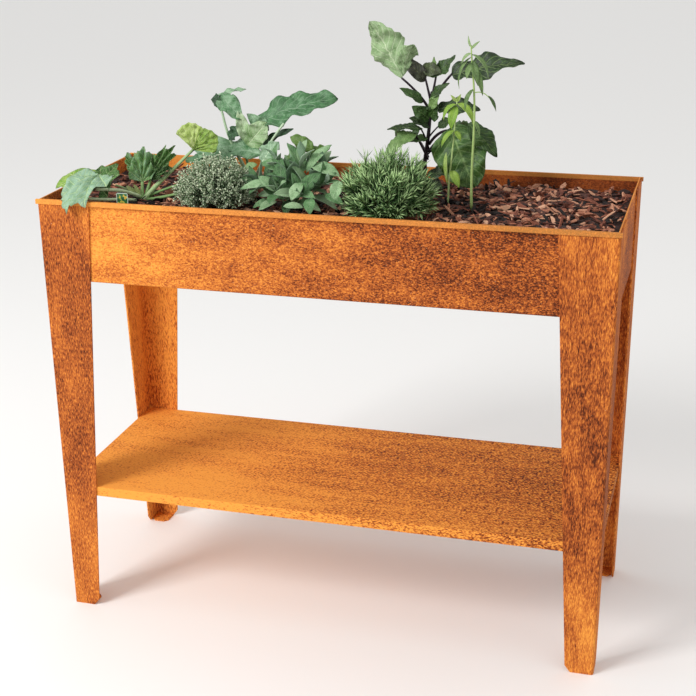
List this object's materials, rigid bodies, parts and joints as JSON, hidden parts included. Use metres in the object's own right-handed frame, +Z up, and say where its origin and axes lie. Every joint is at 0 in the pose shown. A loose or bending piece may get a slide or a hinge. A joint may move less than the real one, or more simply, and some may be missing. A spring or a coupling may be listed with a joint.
{
  "type": "raised planter on legs",
  "caption": "Raised weathering-steel planter: a shallow planted trough on tapered angle legs, with a low shelf between them.",
  "frame": {"origin": "on the floor, at the centre of the footprint", "axes": "+X along the front, to the right; +Y from the front to the back; +Z up"},
  "size_m": [1.004, 0.404, 1.088],
  "materials": {
    "weathering_steel": "matte, rusted brown-orange patina",
    "zinc_plated_steel": "satin",
    "compost": "matte, loose",
    "bark": "matte, chipped",
    "squash_foliage": "matte",
    "thyme_foliage": "matte",
    "sage_foliage": "matte",
    "rosemary_foliage": "matte",
    "aubergine_foliage": "matte",
    "pepper_foliage": "matte",
    "label_plastic": "matte"
  },
  "bodies": {
    "root": {"aubergine": "aubergine_foliage", "bark_mulch": "bark", "compost": "compost", "leg_front_left": "weathering_steel", "leg_front_right": "weathering_steel", "leg_rear_left": "weathering_steel", "leg_rear_right": "weathering_steel", "pepper_seedlings": "pepper_foliage", "plant_label": "label_plastic", "rosemary_bush": "rosemary_foliage", "sage_bush": "sage_foliage", "shelf_nuts": "zinc_plated_steel", "shelf_tray": "weathering_steel", "shelf_washers": "zinc_plated_steel", "shelf_weld_studs": "zinc_plated_steel", "squash_centre": "squash_foliage", "squash_left": "squash_foliage", "thyme_bush": "thyme_foliage", "trough_body": "weathering_steel", "trough_end_left": "weathering_steel", "trough_end_right": "weathering_steel", "trough_nuts": "zinc_plated_steel", "trough_washers": "zinc_plated_steel", "trough_weld_studs": "zinc_plated_steel"}
  },
  "joints": []
}
